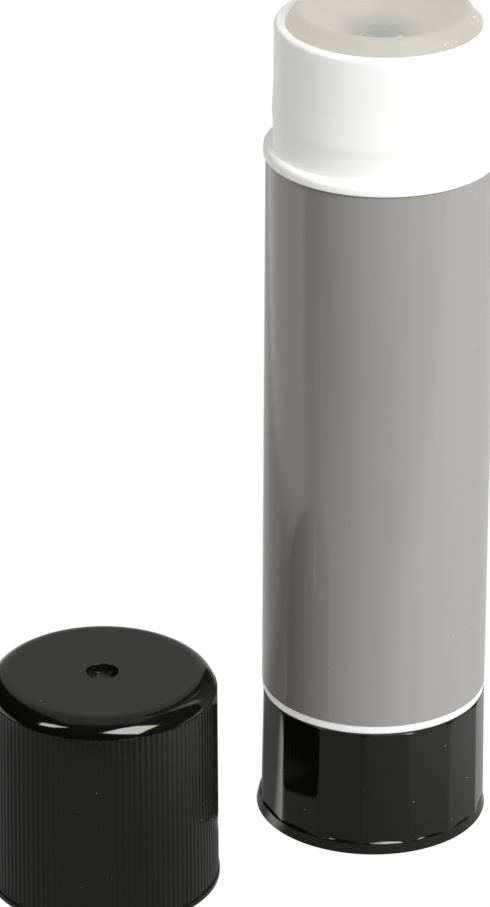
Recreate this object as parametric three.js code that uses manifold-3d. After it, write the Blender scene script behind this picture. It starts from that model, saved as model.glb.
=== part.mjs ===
// A glue stick with its cap taken off and stood on the table beside it.
// A knob at the foot turns a screw spindle. A carrier that cannot turn climbs
// the screw and pushes the glue out of the barrel.
// Millimetres, +Z up, front towards -Y. The origin is on the barrel's axis, on
// the table.
import * as THREE from "three";
import { mergeVertices } from "three/addons/utils/BufferGeometryUtils.js";
import Module from "manifold-3d";

// Facets
const roundSides = 40; // round a full turn of a smooth piece
const innerSides = 24; // the same for the spindle's plain parts and the knob's post
const threadSteps = 12; // round one turn of the screw

// Barrel
const barrelRadius = 12.38;
const barrelWall = 1.88;
const lipHeight = 0.98; // bare end of the barrel below the label
const lipBevel = 0.15;
const labelHeight = 63.28;
const labelThickness = 0.12;
const shoulderStep = 0.21; // how far the shoulder stands out from the barrel
const shoulderHeight = 1.09;
const shoulderRounding = 0.45;
const neckWall = 1.13;
const neckHeight = 13.9;
const neckFillet = 0.25;
const beadDepth = 0.23; // snap bead round the neck
const beadWidth = 1.9;
const beadRise = 3.45; // middle of the bead above the shoulder
const rimRounding = 0.4;

// Socket in the barrel's foot and the knob's collar that snaps into it
const socketWall = 1.23;
const socketDepth = 10.6;
const collarClearance = 0.2;
const collarWall = 1.4;
const snapRise = 5; // middle of the snap groove above the barrel's foot
const snapWidth = 1.6;
const snapDepth = 0.3;

// Guide ribs in the bore, which keep the carrier from turning
const guideCount = 4;
const guideWidth = 1.2;
const guideDepth = 0.45;
const guideTopGap = 6; // plain bore between the ribs and the rim

// Twist knob
const knobHeight = 14.8;
const knobSeatGap = 0.15; // running gap under the barrel's foot
const facetCount = 15;
const firstRidge = -53.8; // degrees from the front towards +X
const knobInset = 0.16; // how far the flats lie inside the barrel's side, at the top
const knobTaper = 0.15; // how much further out they are where the foot's flare begins
const knobBevel = 0.2;
const footStep = 0.45; // how far the foot stands out from the flats
const footRimHeight = 0.5; // upright edge of the foot
const footFlareHeight = 2.6; // top of the flare above the table
const footRounding = 0.3;
const footGrooveInset = 3.2; // from the foot's rim to the ring groove in the underside
const footGrooveWidth = 0.9;
const footGrooveDepth = 0.35;
const knobFloor = 1.6;
const postWall = 1.5;
const postHeight = 11;
const webCount = 6;
const webThickness = 1;
const webHeight = 7;

// Spindle
const plugRadius = 2.9; // to the corners of the six-sided plug
const plugClearance = 0.05;
const flangeRadius = 4.2;
const flangeThickness = 1.2;
const threadPitch = 4;
const threadRoot = 1.6;
const threadCrest = 2.3;
const threadBase = 1.9; // width of the ridge at its root
const threadTip = 1; // width of the ridge at its crest
const threadClearance = 0.25;
const threadLead = 0.75; // thread below the carrier's lowest place
const spindleTopGap = 1.8; // from the rim down to the spindle's end
const tipChamfer = 0.3;

// Carrier
const carrierClearance = 0.25;
const carrierRestGap = 0.3; // above the ledge at its lowest place
const carrierRaised = 4; // height above its lowest place, as stored
const carrierHeight = 7;
const carrierWall = 1;
const carrierFloor = 1.2;
const carrierBevel = 0.2;
const hubWall = 1.25;
const hubHeight = 8;
const vaneCount = 4;
const vaneThickness = 0.8;
const vaneHeight = 2.5;

// Glue
const glueClearance = 0.3; // the glue has shrunk clear of what holds it
const glueProud = 1.85; // edge of the dish above the rim
const dishInset = 1.41; // from the bore to the dish's edge
const dishDepth = 3.65;
const dishRim = 0.3; // height of the rounded edge under the dish's rim

// Cap
const capPlace = [-29.87, -16.54]; // axis of the cap on the table
const capHeight = 24.87;
const capTaper = 0.21; // how much wider the cap is at its mouth
const capWall = 0.51; // beside the neck, between the ribs
const capLipHeight = 0.7;
const capEdgeRadius = 2.36;
const capRoof = 1.5;
const capNeckClearance = 0.32;
const capSnapRise = 2.3; // middle of the inner snap bead above the mouth
const capSnapWidth = 1.2;
const capSnapDepth = 0.2;
const capMouthBevel = 0.3;
const ribCount = 120;
const ribDepth = 0.18;
const ribBase = 0.42; // width at the cap's wall
const ribTip = 0.16; // width at the crest
const ribSink = 0.12; // how deep a rib is rooted in the wall
const ribTopGap = 0.35; // smooth wall between the ribs and the rounded edge
const sealWall = 0.8;
const sealClearance = 0.15;
const sealPlug = 1.3; // how far the seal ring reaches below the rim when capped
const dimpleRadius = 1.78;
const dimpleSlope = 0.53; // how far its side leans in
const dimpleDepth = 0.9;

// Heights above the table
const barrelFoot = knobHeight + knobSeatGap;
const labelFoot = barrelFoot + lipHeight;
const labelTop = labelFoot + labelHeight;
const neckFoot = labelTop + shoulderHeight;
const rim = neckFoot + neckHeight;
const ledge = barrelFoot + socketDepth;
const carrierLowest = ledge + carrierRestGap;
const carrierFoot = carrierLowest + carrierRaised;
const guideTop = rim - guideTopGap;
const spindleTop = rim - spindleTopGap;
const threadFoot = carrierLowest - threadLead;
const flangeFoot = postHeight + plugClearance;

// Radii that follow from the pieces beside them
const boreRadius = barrelRadius - barrelWall;
const socketRadius = barrelRadius - socketWall;
const shoulderRadius = barrelRadius + shoulderStep;
const neckRadius = boreRadius + neckWall;
const beadRadius = neckRadius + beadDepth;
const knobTopFlat = barrelRadius - knobInset; // axis to a flat
const knobLowFlat = knobTopFlat + knobTaper;
const footRadius = knobLowFlat + footStep;
const collarRadius = socketRadius - collarClearance;
const postRadius = plugRadius + postWall;
const carrierRadius = boreRadius - carrierClearance;
const hubRadius = threadCrest + threadClearance + hubWall;
const dishRadius = boreRadius - dishInset;
const capBore = neckRadius + capNeckClearance;
const capTopRadius = capBore + capWall + ribDepth; // over the ribs, at their upper ends
const capFootRadius = capTopRadius + capTaper;

const wasm = await Module();
wasm.setup();

// A closed geometry as a solid that can be joined and cut.
function solidOf(geometry) {
  const bare = geometry.clone();
  bare.deleteAttribute("normal");
  bare.deleteAttribute("uv");
  const merged = mergeVertices(bare, 1e-5);
  const corners = merged.index.array;
  const triangles = [];
  for (let i = 0; i < corners.length; i += 3) {
    const [a, b, c] = corners.slice(i, i + 3);
    if (a !== b && b !== c && c !== a) triangles.push(a, b, c);
  }
  return new wasm.Manifold(new wasm.Mesh({
    numProp: 3,
    vertProperties: new Float32Array(merged.attributes.position.array),
    triVerts: new Uint32Array(triangles),
  }));
}

// A profile of [radius, height] turned round the Z axis. It runs anticlockwise
// round the material, and its sides start at the front.
function turned(profile, sides = roundSides, startAngle = 0) {
  const points = profile.map(([radius, height]) => new THREE.Vector2(radius, height));
  const start = THREE.MathUtils.degToRad(startAngle);
  const lathe = new THREE.LatheGeometry(points, sides, start);
  lathe.rotateX(Math.PI / 2);
  return solidOf(lathe);
}

// A closed ring's profile: the same, with the first point repeated at the end.
function ringOf(profile, sides = roundSides) {
  return turned([...profile, profile[0]], sides);
}

function cylinder(radius, bottom, top, sides = roundSides) {
  return turned([[0, bottom], [radius, bottom], [radius, top], [0, top]], sides);
}

// Points on an arc of a profile, angles in degrees from outwards towards up.
function arc(radius, height, size, from, to, steps) {
  const points = [];
  for (let i = 0; i <= steps; i++) {
    const angle = THREE.MathUtils.degToRad(from + ((to - from) * i) / steps);
    points.push([radius + size * Math.cos(angle), height + size * Math.sin(angle)]);
  }
  return points;
}

// An upright slab from one radius to another, turned to an angle in degrees.
function slab(inner, outer, thickness, bottom, top, angle) {
  const box = new THREE.BoxGeometry(outer - inner, thickness, top - bottom);
  box.translate((inner + outer) / 2, 0, (bottom + top) / 2);
  box.rotateZ(THREE.MathUtils.degToRad(angle));
  return solidOf(box);
}

// Copies of what make(angle) returns, evenly round a full turn, as one solid.
function roundAbout(count, startAngle, make) {
  let all = make(startAngle);
  for (let i = 1; i < count; i++) all = all.add(make(startAngle + (360 * i) / count));
  return all;
}

// A rod with a left-hand screw ridge, cut square at both ends. The helix is
// always the spindle's own, so the same rod made larger cuts the nut.
function threadedRod(clearance, bottom, top) {
  const root = threadRoot + clearance;
  const crest = threadCrest + clearance;
  const halfBase = threadBase / 2 + clearance;
  const halfTip = threadTip / 2 + clearance;
  const corners = [[root, -halfBase], [crest, -halfTip], [crest, halfTip], [root, halfBase]];
  const turnsBelow = Math.floor((bottom - threadFoot) / threadPitch) - 1;
  const start = threadFoot + turnsBelow * threadPitch;
  const turns = Math.ceil((top - start) / threadPitch) + 2;
  const rows = turns * threadSteps;
  const last = corners.length - 1;
  const points = [];
  for (let row = 0; row <= rows; row++) {
    const angle = (-2 * Math.PI * row) / threadSteps;
    for (const [radius, height] of corners) {
      const z = start + height + (threadPitch * row) / threadSteps;
      points.push(radius * Math.cos(angle), radius * Math.sin(angle), z);
    }
  }
  const at = (row, corner) => row * corners.length + corner;
  const faces = [];
  const quad = (a, b, c, d) => faces.push(a, b, c, c, b, d);
  for (let row = 0; row < rows; row++) {
    for (let k = 0; k < last; k++) {
      quad(at(row, k), at(row, k + 1), at(row + 1, k), at(row + 1, k + 1));
    }
    const above = row + threadSteps; // the next turn's first corner closes the root
    if (above < rows) quad(at(row, last), at(above, 0), at(row + 1, last), at(above + 1, 0));
  }
  const lowLoop = [];
  const highLoop = [];
  for (let row = 0; row <= threadSteps; row++) {
    lowLoop.push(at(row, 0));
    highLoop.push(at(rows - threadSteps + row, last));
  }
  for (let k = last; k > 0; k--) {
    lowLoop.push(at(0, k));
    highLoop.push(at(rows, k - 1));
  }
  const lowHub = points.length / 3;
  points.push(0, 0, start - threadPitch);
  points.push(0, 0, start + (turns + 1) * threadPitch);
  lowLoop.forEach((corner, i) => {
    faces.push(lowHub, corner, lowLoop[(i + 1) % lowLoop.length]);
  });
  highLoop.forEach((corner, i) => {
    faces.push(lowHub + 1, highLoop[(i + 1) % highLoop.length], corner);
  });
  const geometry = new THREE.BufferGeometry();
  geometry.setAttribute("position", new THREE.Float32BufferAttribute(points, 3));
  geometry.setIndex(faces);
  const ends = cylinder(crest + threadPitch, bottom, top, threadSteps);
  return solidOf(geometry).intersect(ends);
}

// White tube: socket for the knob below, bore with guide ribs, shoulder where
// the cap stops, and a thinner neck with a snap bead and a rounded rim.
function barrel() {
  const beadMiddle = neckFoot + beadRise;
  const snapMiddle = barrelFoot + snapRise;
  const grooveRadius = collarRadius + snapDepth + collarClearance;
  const grooveHalf = snapWidth / 2 + collarClearance;
  const rimMiddle = rim - rimRounding;
  const tube = ringOf([
    [socketRadius + lipBevel, barrelFoot],
    [barrelRadius - lipBevel, barrelFoot],
    [barrelRadius, barrelFoot + lipBevel],
    [barrelRadius, labelTop],
    [shoulderRadius, labelTop],
    ...arc(shoulderRadius - shoulderRounding, neckFoot - shoulderRounding, shoulderRounding, 0, 90, 3),
    [neckRadius + neckFillet, neckFoot],
    [neckRadius, neckFoot + neckFillet],
    [neckRadius, beadMiddle - beadWidth / 2],
    [neckRadius + beadDepth * 0.8, beadMiddle - beadWidth / 4],
    [beadRadius, beadMiddle],
    [neckRadius + beadDepth * 0.8, beadMiddle + beadWidth / 4],
    [neckRadius, beadMiddle + beadWidth / 2],
    ...arc(neckRadius - rimRounding, rimMiddle, rimRounding, 0, 90, 3),
    ...arc(boreRadius + rimRounding, rimMiddle, rimRounding, 90, 180, 3),
    [boreRadius, ledge],
    [socketRadius, ledge],
    [socketRadius, snapMiddle + grooveHalf + snapDepth],
    [grooveRadius, snapMiddle + grooveHalf],
    [grooveRadius, snapMiddle - grooveHalf],
    [socketRadius, snapMiddle - grooveHalf - snapDepth],
    [socketRadius, barrelFoot + lipBevel],
  ]);
  const wallMiddle = (boreRadius + neckRadius) / 2;
  return tube.add(roundAbout(guideCount, 0, (angle) =>
    slab(boreRadius - guideDepth, wallMiddle, guideWidth, ledge, guideTop, angle)));
}

// Printed wrap round the barrel, between the bare lip and the shoulder.
function label() {
  return ringOf([
    [barrelRadius, labelFoot],
    [barrelRadius + labelThickness, labelFoot],
    [barrelRadius + labelThickness, labelTop],
    [barrelRadius, labelTop],
  ]);
}

// Black knob: flat-sided outside, flared round foot, hollow, with a collar that
// snaps into the barrel and a six-sided socket for the spindle.
function twistKnob() {
  const cornerOf = (flat) => flat / Math.cos(Math.PI / facetCount);
  const grip = turned([
    [0, footRimHeight],
    [cornerOf(knobLowFlat), footRimHeight],
    [cornerOf(knobLowFlat), footFlareHeight],
    [cornerOf(knobTopFlat), knobHeight - knobBevel],
    [cornerOf(knobTopFlat) - knobBevel, knobHeight],
    [0, knobHeight],
  ], facetCount, firstRidge);
  const grooveOuter = footRadius - footGrooveInset + footGrooveWidth / 2;
  const grooveInner = grooveOuter - footGrooveWidth;
  const flareMiddle = (footRimHeight + footFlareHeight) / 2;
  const foot = turned([
    [0, 0],
    [grooveInner, 0],
    [grooveInner, footGrooveDepth],
    [grooveOuter, footGrooveDepth],
    [grooveOuter, 0],
    [footRadius - footRounding, 0],
    [footRadius, footRounding],
    [footRadius, footRimHeight],
    [footRadius - (footRadius - knobLowFlat) * 0.3, flareMiddle],
    [knobLowFlat, footFlareHeight],
    [0, footFlareHeight],
  ]);
  const collarTop = ledge - collarClearance;
  const snapMiddle = barrelFoot + snapRise;
  const collar = turned([
    [0, knobHeight / 2],
    [collarRadius, knobHeight / 2],
    [collarRadius, snapMiddle - snapWidth / 2 - snapDepth],
    [collarRadius + snapDepth, snapMiddle - snapWidth / 2],
    [collarRadius + snapDepth, snapMiddle],
    [collarRadius, snapMiddle + snapWidth / 2],
    [collarRadius, collarTop - collarClearance],
    [collarRadius - collarClearance, collarTop],
    [0, collarTop],
  ]);
  const hollow = cylinder(collarRadius - collarWall, knobFloor, collarTop + 1);
  const socket = cylinder(plugRadius + plugClearance, knobFloor + plugClearance, postHeight + 1, 6);
  const post = cylinder(postRadius, knobFloor / 2, postHeight, innerSides);
  const webs = roundAbout(webCount, 0, (angle) =>
    slab(plugRadius + plugClearance, collarRadius, webThickness, knobFloor / 2, webHeight, angle));
  return grip.add(foot).add(collar).subtract(hollow).add(post).add(webs).subtract(socket);
}

// Screw spindle pressed into the knob, reaching almost to the barrel's rim.
function spindle() {
  const plug = cylinder(plugRadius, knobFloor + 2 * plugClearance, flangeFoot + flangeThickness / 2, 6);
  const flange = cylinder(flangeRadius, flangeFoot, flangeFoot + flangeThickness, innerSides);
  const shank = cylinder(threadCrest, flangeFoot, threadFoot, innerSides);
  const screwFoot = threadFoot - threadPitch / 2; // rooted in the shank
  const chamferedEnd = turned([
    [0, screwFoot],
    [threadCrest + threadPitch, screwFoot],
    [threadCrest + threadPitch, spindleTop - threadPitch - tipChamfer],
    [threadCrest, spindleTop - tipChamfer],
    [threadCrest - tipChamfer, spindleTop],
    [0, spindleTop],
  ], innerSides);
  const screw = threadedRod(0, screwFoot, spindleTop).intersect(chamferedEnd);
  return plug.add(flange).add(shank).add(screw);
}

// The guide ribs' notches, cut from what slides past them.
function guideNotches(clearance, bottom, top) {
  const inner = boreRadius - guideDepth - clearance;
  const width = guideWidth + 2 * clearance;
  return roundAbout(guideCount, 0, (angle) =>
    slab(inner, barrelRadius, width, bottom, top, angle));
}

function vanes(clearance, bottom, top) {
  const outer = carrierRadius - carrierWall / 2;
  const width = vaneThickness + 2 * clearance;
  return roundAbout(vaneCount, 180 / vaneCount, (angle) =>
    slab(threadCrest + threadClearance, outer, width, bottom, top, angle));
}

// Carrier: a cup for the foot of the glue, with a threaded hub, vanes that
// grip the glue, and notches that run on the guide ribs.
function carrier() {
  const floorTop = carrierFoot + carrierFloor;
  const cupTop = carrierFoot + carrierHeight;
  const cupRadius = carrierRadius - carrierWall;
  const hubTop = carrierFoot + hubHeight;
  const cup = turned([
    [0, carrierFoot],
    [carrierRadius - carrierBevel, carrierFoot],
    [carrierRadius, carrierFoot + carrierBevel],
    [carrierRadius, cupTop],
    [cupRadius, cupTop],
    [cupRadius, floorTop],
    [hubRadius, floorTop],
    [hubRadius, hubTop],
    [0, hubTop],
  ]);
  const grip = vanes(0, carrierFoot + carrierFloor / 2, floorTop + vaneHeight);
  const nut = threadedRod(threadClearance, carrierFoot - 1, hubTop + 1);
  const notches = guideNotches(carrierClearance, carrierFoot - 1, cupTop + 1);
  return cup.add(grip).subtract(nut).subtract(notches);
}

// Glue cast in the barrel: a column round the spindle with a dished top.
function glue() {
  const floorTop = carrierFoot + carrierFloor;
  const cupTop = carrierFoot + carrierHeight;
  const footRadiusInCup = carrierRadius - carrierWall - glueClearance;
  const columnRadius = boreRadius - glueClearance;
  const dishEdge = rim + glueProud;
  const dishSphere = (dishRadius ** 2 + dishDepth ** 2) / (2 * dishDepth);
  const dishSlope = THREE.MathUtils.radToDeg(Math.asin(dishRadius / dishSphere));
  const dish = arc(0, dishEdge - dishDepth + dishSphere, dishSphere, dishSlope - 90, -90, 6);
  const column = turned([
    [0, floorTop + glueClearance],
    [footRadiusInCup, floorTop + glueClearance],
    [footRadiusInCup, cupTop + glueClearance],
    [columnRadius, cupTop + glueClearance],
    [columnRadius, rim],
    [dishRadius + dishRim, dishEdge - dishRim],
    ...dish.slice(0, -1),
    [0, dishEdge - dishDepth],
  ]);
  const hubTop = carrierFoot + hubHeight;
  const overHub = cylinder(hubRadius + glueClearance, carrierFoot, hubTop + glueClearance);
  const bore = cylinder(threadCrest + glueClearance, carrierFoot, dishEdge, innerSides);
  const vaneSlots = vanes(glueClearance, carrierFoot, floorTop + vaneHeight + glueClearance);
  const grooves = guideNotches(glueClearance, carrierFoot, guideTop + carrierRaised + glueClearance);
  return column.subtract(overHub).subtract(bore).subtract(vaneSlots).subtract(grooves);
}

// One of the cap's grip ribs: a bar that leans in with the cap's taper.
function capRib(angle, bottom, top) {
  const points = [];
  for (const [height, crest] of [[bottom, capFootRadius], [top, capTopRadius]]) {
    const root = crest - ribDepth - ribSink;
    points.push(root, -ribBase / 2, height, crest, -ribTip / 2, height);
    points.push(crest, ribTip / 2, height, root, ribBase / 2, height);
  }
  const geometry = new THREE.BufferGeometry();
  geometry.setAttribute("position", new THREE.Float32BufferAttribute(points, 3));
  geometry.setIndex([
    0, 2, 1, 0, 3, 2, 4, 5, 6, 4, 6, 7,
    0, 1, 5, 0, 5, 4, 1, 2, 6, 1, 6, 5,
    2, 3, 7, 2, 7, 6, 3, 0, 4, 3, 4, 7,
  ]);
  geometry.rotateZ(THREE.MathUtils.degToRad(angle));
  return solidOf(geometry);
}

// Cap: ribbed outside with a smooth rounded top and a dimple. Inside are the
// snap bead that holds on the neck and the seal ring that plugs the bore.
// Its mouth is at height 0.
function cap() {
  const roof = capHeight - capRoof;
  const wallTop = capTopRadius - ribDepth;
  const wallFoot = capFootRadius - ribDepth;
  const edgeMiddle = capHeight - capEdgeRadius;
  const sealRadius = boreRadius - sealClearance;
  const sealFoot = neckHeight - sealPlug;
  const shell = turned([
    [0, roof],
    [sealRadius - sealWall, roof],
    [sealRadius - sealWall, sealFoot],
    [sealRadius - sealClearance, sealFoot],
    [sealRadius, sealFoot + sealWall],
    [sealRadius, roof],
    [capBore, roof],
    [capBore, capSnapRise + capSnapWidth / 2],
    [capBore - capSnapDepth, capSnapRise],
    [capBore, capSnapRise - capSnapWidth / 2],
    [capBore, capMouthBevel],
    [capBore + capMouthBevel / 2, 0],
    [capFootRadius - lipBevel, 0],
    [capFootRadius, lipBevel],
    [capFootRadius, capLipHeight],
    [wallFoot, capLipHeight],
    ...arc(wallTop - capEdgeRadius, edgeMiddle, capEdgeRadius, 0, 90, 6),
    [dimpleRadius, capHeight],
    [dimpleRadius - dimpleSlope, capHeight - dimpleDepth],
    [0, capHeight - dimpleDepth],
  ]);
  return shell.add(roundAbout(ribCount, 180 / ribCount, (angle) =>
    capRib(angle, capLipHeight / 2, edgeMiddle - ribTopGap)));
}

function piece(name, solid, color, roughness) {
  const { vertProperties, triVerts } = solid.getMesh();
  const geometry = new THREE.BufferGeometry();
  geometry.setAttribute("position", new THREE.BufferAttribute(vertProperties, 3));
  geometry.setIndex(new THREE.BufferAttribute(triVerts, 1));
  geometry.computeVertexNormals();
  const material = new THREE.MeshStandardMaterial({ color, roughness, metalness: 0 });
  const mesh = new THREE.Mesh(geometry, material);
  mesh.name = name;
  return mesh;
}

const stick = new THREE.Group();
stick.add(
  piece("barrel", barrel(), 0xf2f2f0, 0.35),
  piece("label", label(), 0x9a948d, 0.5),
  piece("twist_knob", twistKnob(), 0x101010, 0.15),
  piece("spindle", spindle(), 0x141414, 0.3),
  piece("carrier", carrier(), 0xe9e9e4, 0.4),
  piece("glue", glue(), 0xddd8c0, 0.3),
);

const looseCap = new THREE.Group();
looseCap.position.set(capPlace[0], capPlace[1], 0);
looseCap.add(piece("cap", cap(), 0x111111, 0.25));

const glueStick = new THREE.Group();
glueStick.add(stick, looseCap);
export default glueStick;
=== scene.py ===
# Looks of the glue stick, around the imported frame. Metres, +Z up.
# The stick's axis is the Z axis. Sizes in the dictionaries are in millimetres.
import math
import random

import bmesh
import bpy
from mathutils import Matrix, Vector


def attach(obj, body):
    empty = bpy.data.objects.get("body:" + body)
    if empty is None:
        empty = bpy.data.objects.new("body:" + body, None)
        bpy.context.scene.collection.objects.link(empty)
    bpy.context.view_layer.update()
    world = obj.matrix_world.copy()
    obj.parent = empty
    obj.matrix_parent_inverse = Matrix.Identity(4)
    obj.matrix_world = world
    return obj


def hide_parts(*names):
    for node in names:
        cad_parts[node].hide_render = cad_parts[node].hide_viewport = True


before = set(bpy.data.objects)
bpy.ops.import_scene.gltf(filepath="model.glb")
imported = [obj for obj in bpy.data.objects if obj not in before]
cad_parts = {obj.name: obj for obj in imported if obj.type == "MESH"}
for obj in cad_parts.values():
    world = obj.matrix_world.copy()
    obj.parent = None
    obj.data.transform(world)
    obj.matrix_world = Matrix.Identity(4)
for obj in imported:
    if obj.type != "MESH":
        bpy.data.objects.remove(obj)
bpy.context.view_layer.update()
print("frame loaded:", sorted(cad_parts))

mm = 0.001
fullTurn = 2 * math.pi


# Camera, fitted to the ellipses of the rim, shoulder, label, knob and cap

camera = {
    "place": (-14.46, -555.15, 309.36),
    "pitchDown": 25.61,
    "roll": 0.27,
    "lens": 222.3,
    "sensor": 36.0,
}


def makeCamera():
    data = bpy.data.cameras.new("camera")
    data.lens = camera["lens"]
    data.sensor_width = camera["sensor"]
    data.sensor_fit = "AUTO"
    data.clip_start = 0.01
    data.clip_end = 20
    obj = bpy.data.objects.new("camera", data)
    bpy.context.scene.collection.objects.link(obj)
    tilt = Matrix.Rotation(math.radians(90 - camera["pitchDown"]), 4, "X")
    roll = Matrix.Rotation(math.radians(camera["roll"]), 4, "Z")
    obj.matrix_world = Matrix.Translation(Vector(camera["place"]) * mm) @ tilt @ roll
    bpy.context.scene.camera = obj


makeCamera()
print("camera placed")


# Mesh helpers

def rounded(corners, steps=6):
    # corners: (radius, height, rounding). Each rounding becomes an arc, with a
    # point close outside it that keeps the shading of long walls even.
    points = []
    last = len(corners) - 1
    for i, (r, z, size) in enumerate(corners):
        here = Vector((r, z))
        if size == 0 or i in (0, last):
            points.append(here)
            continue
        before = Vector(corners[i - 1][:2])
        after = Vector(corners[i + 1][:2])
        inward = (before - here).normalized()
        outward = (after - here).normalized()
        angle = inward.angle(outward)
        reach = size / math.tan(angle / 2)
        centre = here + (inward + outward).normalized() * (size / math.sin(angle / 2))
        start = here + inward * reach
        end = here + outward * reach
        support = min(size, 0.3)
        if (before - here).length > reach + 3 * support:
            points.append(start + inward * support)
        a = math.atan2(start.y - centre.y, start.x - centre.x)
        b = math.atan2(end.y - centre.y, end.x - centre.x)
        turn = (b - a + math.pi) % fullTurn - math.pi
        for k in range(steps + 1):
            t = a + turn * k / steps
            points.append(centre + Vector((math.cos(t), math.sin(t))) * size)
        if (after - here).length > reach + 3 * support:
            points.append(end + outward * support)
    return [(p.x, p.y) for p in points]


def newPiece(name, points, faces):
    mesh = bpy.data.meshes.new(name)
    mesh.from_pydata(points, [], faces)
    mesh.update()
    obj = bpy.data.objects.new(name, mesh)
    bpy.context.scene.collection.objects.link(obj)
    return obj


def smoothShade(obj, sharpAngle=32):
    work = bmesh.new()
    work.from_mesh(obj.data)
    for face in work.faces:
        face.smooth = True
    for edge in work.edges:
        edge.smooth = edge.calc_face_angle(0) < math.radians(sharpAngle)
    work.to_mesh(obj.data)
    work.free()


def turnedPiece(name, profile, sides, centre=(0, 0), radiusAt=None):
    # profile: (radius, height) from the axis below, round the outside, to the
    # axis above, or a loop that closes on itself. radiusAt(k, angle) may give
    # the k-th point its own radius at each angle, from -Y towards +X.
    looped = profile[0][0] > 0
    points, rings = [], []
    for k, (r, z) in enumerate(profile):
        if r == 0:
            rings.append([len(points)] * sides)
            points.append((centre[0] * mm, centre[1] * mm, z * mm))
            continue
        ring = []
        for i in range(sides):
            angle = fullTurn * i / sides
            size = radiusAt(k, angle) if radiusAt else r
            x = centre[0] + size * math.sin(angle)
            y = centre[1] - size * math.cos(angle)
            ring.append(len(points))
            points.append((x * mm, y * mm, z * mm))
        rings.append(ring)
    if looped:
        rings.append(rings[0])
    faces = []
    for low, high in zip(rings, rings[1:]):
        for i in range(sides):
            j = (i + 1) % sides
            corners = [low[i], low[j], high[j], high[i]]
            faces.append([c for n, c in enumerate(corners) if c not in corners[:n]])
    obj = newPiece(name, points, faces)
    smoothShade(obj)
    return obj


def turnedOutward(obj):
    work = bmesh.new()
    work.from_mesh(obj.data)
    bmesh.ops.recalc_face_normals(work, faces=work.faces)
    work.to_mesh(obj.data)
    work.free()


def joined(name, parts):
    work = bmesh.new()
    for part in parts:
        work.from_mesh(part.data)
    obj = newPiece(name, [], [])
    work.to_mesh(obj.data)
    work.free()
    for part in parts:
        bpy.data.objects.remove(part)
    return obj


def paint(obj, material):
    obj.data.materials.clear()
    obj.data.materials.append(material)


# Material helpers

def newMaterial(name):
    material = bpy.data.materials.new(name)
    material.use_nodes = True
    nodes = material.node_tree.nodes
    return material, nodes, material.node_tree.links, nodes["Principled BSDF"]


def noiseOver(nodes, links, scale, detail=2.0, stretch=(1, 1, 1)):
    place = nodes.new("ShaderNodeTexCoord")
    mapping = nodes.new("ShaderNodeMapping")
    mapping.inputs["Scale"].default_value = stretch
    noise = nodes.new("ShaderNodeTexNoise")
    noise.inputs["Scale"].default_value = scale
    noise.inputs["Detail"].default_value = detail
    links.new(place.outputs["Object"], mapping.inputs["Vector"])
    links.new(mapping.outputs["Vector"], noise.inputs["Vector"])
    return noise.outputs["Fac"]


def ramped(nodes, links, value, low, high, start=0.3, end=0.7):
    remap = nodes.new("ShaderNodeMapRange")
    remap.inputs["From Min"].default_value = start
    remap.inputs["From Max"].default_value = end
    remap.inputs["To Min"].default_value = low
    remap.inputs["To Max"].default_value = high
    links.new(value, remap.inputs["Value"])
    return remap.outputs["Result"]


def computed(nodes, links, operation, *values):
    # a maths node on numbers and on other nodes' outputs
    node = nodes.new("ShaderNodeMath")
    node.operation = operation
    for socket, value in zip(node.inputs, values):
        if isinstance(value, (int, float)):
            socket.default_value = value
        else:
            links.new(value, socket)
    return node.outputs[0]


def blended(nodes, links, amount, colorA, colorB):
    # from colorA, a color or a node's output, to colorB
    mix = nodes.new("ShaderNodeMix")
    mix.data_type = "RGBA"
    if isinstance(colorA, tuple):
        mix.inputs["A"].default_value = (*colorA, 1)
    else:
        links.new(colorA, mix.inputs["A"])
    mix.inputs["B"].default_value = (*colorB, 1)
    links.new(amount, mix.inputs["Factor"])
    return mix.outputs["Result"]


def dusted(nodes, links, color, dust):
    # sparse specks, up to a tenth of a millimetre across, where a cell's point meets
    # the surface, gathered in patches
    place = nodes.new("ShaderNodeTexCoord")
    cells = nodes.new("ShaderNodeTexVoronoi")
    cells.inputs["Scale"].default_value = dust["cells"]
    links.new(place.outputs["Object"], cells.inputs["Vector"])
    speck = ramped(nodes, links, cells.outputs["Distance"], 1, 0, dust["size"] * 0.6, dust["size"])
    patches = ramped(nodes, links, noiseOver(nodes, links, 90, 2), 0, 1, 0.5, 0.62)
    amount = computed(nodes, links, "MULTIPLY", speck, patches)
    return blended(nodes, links, amount, color, dust["color"])


def nearSpot(nodes, links, spot):
    # spot: x, y, z and two radii. The result is 1 inside the first, 0 outside the second
    x, y, z, inner, outer = spot
    place = nodes.new("ShaderNodeTexCoord")
    away = nodes.new("ShaderNodeVectorMath")
    away.operation = "DISTANCE"
    links.new(place.outputs["Object"], away.inputs[0])
    away.inputs[1].default_value = (x * mm, y * mm, z * mm)
    return ramped(nodes, links, away.outputs["Value"], 1, 0, inner * mm, outer * mm)


def bumped(nodes, links, shader, height, strength, distance):
    bump = nodes.new("ShaderNodeBump")
    bump.inputs["Strength"].default_value = strength
    bump.inputs["Distance"].default_value = distance
    links.new(height, bump.inputs["Height"])
    links.new(bump.outputs["Normal"], shader.inputs["Normal"])


# Barrel: white tube with a bare lip, a shoulder and a neck with a snap bead

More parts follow.
